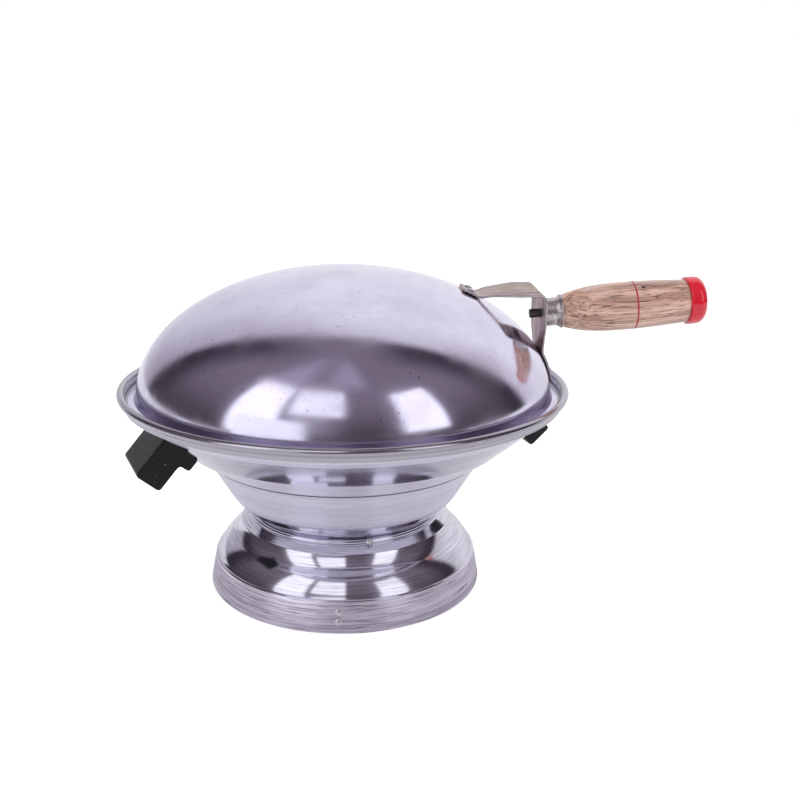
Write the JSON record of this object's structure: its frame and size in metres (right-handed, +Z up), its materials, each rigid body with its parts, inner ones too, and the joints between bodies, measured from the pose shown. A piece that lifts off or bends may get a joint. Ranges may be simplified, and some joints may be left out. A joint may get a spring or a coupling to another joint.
{
  "type": "stovetop domed oven",
  "caption": "Round spun-aluminium stovetop oven: domed lid with a wooden side handle on a bent strap, flared bowl with black side handles, pedestal foot, wire rack and flame spreader.",
  "frame": {"origin": "centre of the foot ring, on the surface the oven stands on, on the axis of the bowl", "axes": "+Z up the axis of the bowl and lid; +X from the axis towards the lid's wooden handle; +Y completes a right-handed frame"},
  "size_m": [0.4448, 0.34, 0.2455],
  "materials": {
    "spun_aluminium": "spun and polished, fine turning lines",
    "bracket_aluminium": "sheared strip, dull",
    "strap_aluminium": "bent strip, worn and slightly browned",
    "ferrule_metal": "cast and turned, grey",
    "rivets": "set rivets",
    "fasteners": "zinc plated",
    "dark_bolt": "blackened",
    "heat_plate": "heat-stained sheet",
    "rack_wire": "plated wire",
    "bakelite": "moulded, satin gloss",
    "turned_wood": "turned and varnished, dark grain",
    "red_plastic": "glossy red"
  },
  "bodies": {
    "oven": {"base_pedestal": "spun_aluminium", "stove_rest_1": "bracket_aluminium", "stove_rest_2": "bracket_aluminium", "stove_rest_3": "bracket_aluminium", "stove_rest_rivets": "rivets", "bowl": "spun_aluminium", "neck_screws": "fasteners", "neck_nuts": "fasteners", "side_handle_left": "bakelite", "side_handle_right": "bakelite", "side_handle_screws": "fasteners", "side_handle_washers": "fasteners"},
    "spreader": {"spreader_disc": "heat_plate", "spreader_leg_1": "heat_plate", "spreader_leg_2": "heat_plate", "spreader_leg_3": "heat_plate", "spreader_rivets": "rivets"},
    "rack": {"rack_ring": "rack_wire", "rack_wires": "rack_wire", "rack_braces": "rack_wire", "rack_loops": "rack_wire"},
    "lid": {"lid_dome": "spun_aluminium", "handle_strap": "strap_aluminium", "strap_rivets": "rivets", "handle_rod": "dark_bolt", "rod_nut": "fasteners", "handle_ferrule": "ferrule_metal", "wooden_grip": "turned_wood", "grip_ring": "red_plastic", "grip_pin": "dark_bolt", "grip_cap": "red_plastic"}
  },
  "joints": [
    {"name": "lid_lift", "type": "slide", "parent": "oven", "child": "lid", "axis": [0, 0, 1], "range_m": [0, 0.2]},
    {"name": "rack_lift", "type": "slide", "parent": "oven", "child": "rack", "axis": [0, 0, 1], "range_m": [0, 0.045]},
    {"name": "spreader_lift", "type": "slide", "parent": "oven", "child": "spreader", "axis": [0, 0, 1], "range_m": [0, 0.03]}
  ]
}
